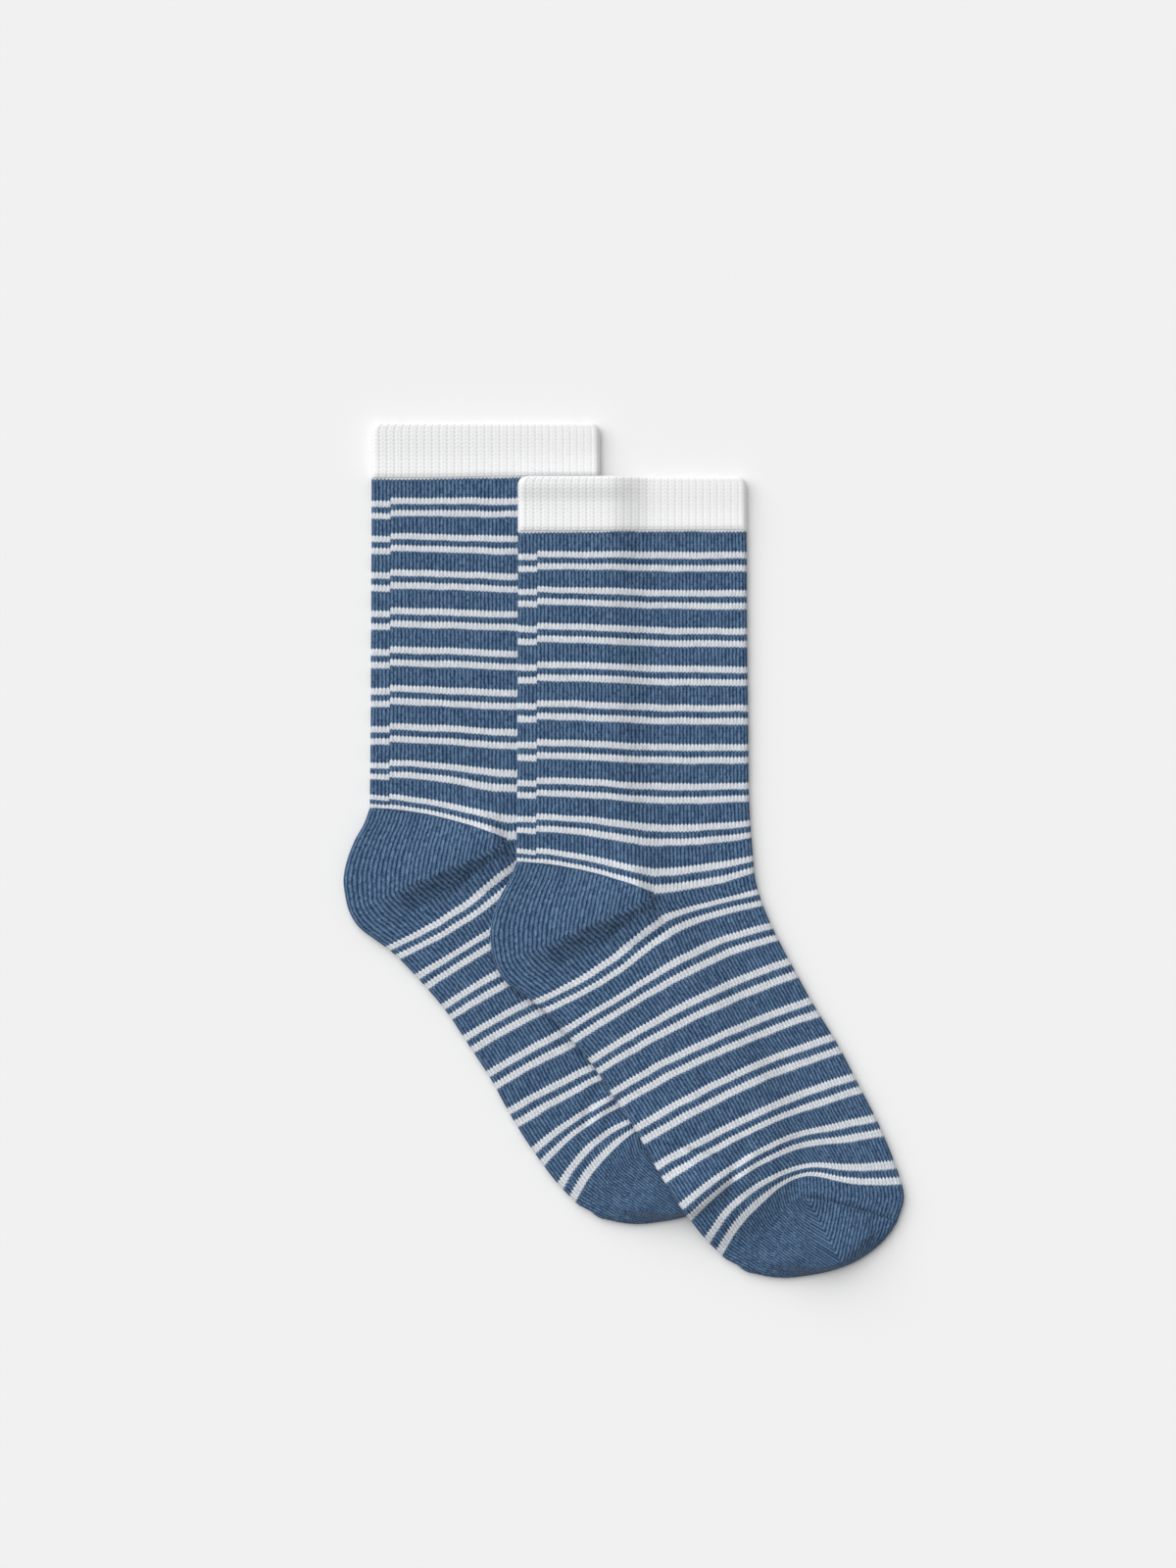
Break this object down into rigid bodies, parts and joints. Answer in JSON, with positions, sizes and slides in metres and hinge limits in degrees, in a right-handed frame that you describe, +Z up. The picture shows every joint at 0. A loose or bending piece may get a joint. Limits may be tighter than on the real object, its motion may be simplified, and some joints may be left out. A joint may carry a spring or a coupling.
{
  "type": "pair of socks",
  "caption": "Pair of knitted crew socks laid flat, one over the other, with ribbed cuffs, striped legs and feet, and plain turned heels and toes.",
  "frame": {"origin": "on the surface the pair lies on, under the middle of the pair", "axes": "+Y along the legs towards the cuffs, +X towards the toes' side, +Z up from the surface"},
  "size_m": [0.172, 0.262, 0.0095],
  "materials": {
    "cuff_rib": "white cotton mock rib, matt",
    "striped_knit": "denim-blue cotton single jersey with paired white stripes, matt",
    "plain_knit": "denim-blue cotton single jersey, matt"
  },
  "bodies": {
    "root": {"front_cuff": "cuff_rib", "front_leg_and_foot": "striped_knit", "front_heel": "plain_knit", "front_toe": "plain_knit", "back_cuff": "cuff_rib", "back_leg_and_foot": "striped_knit", "back_heel": "plain_knit", "back_toe": "plain_knit"}
  },
  "joints": []
}
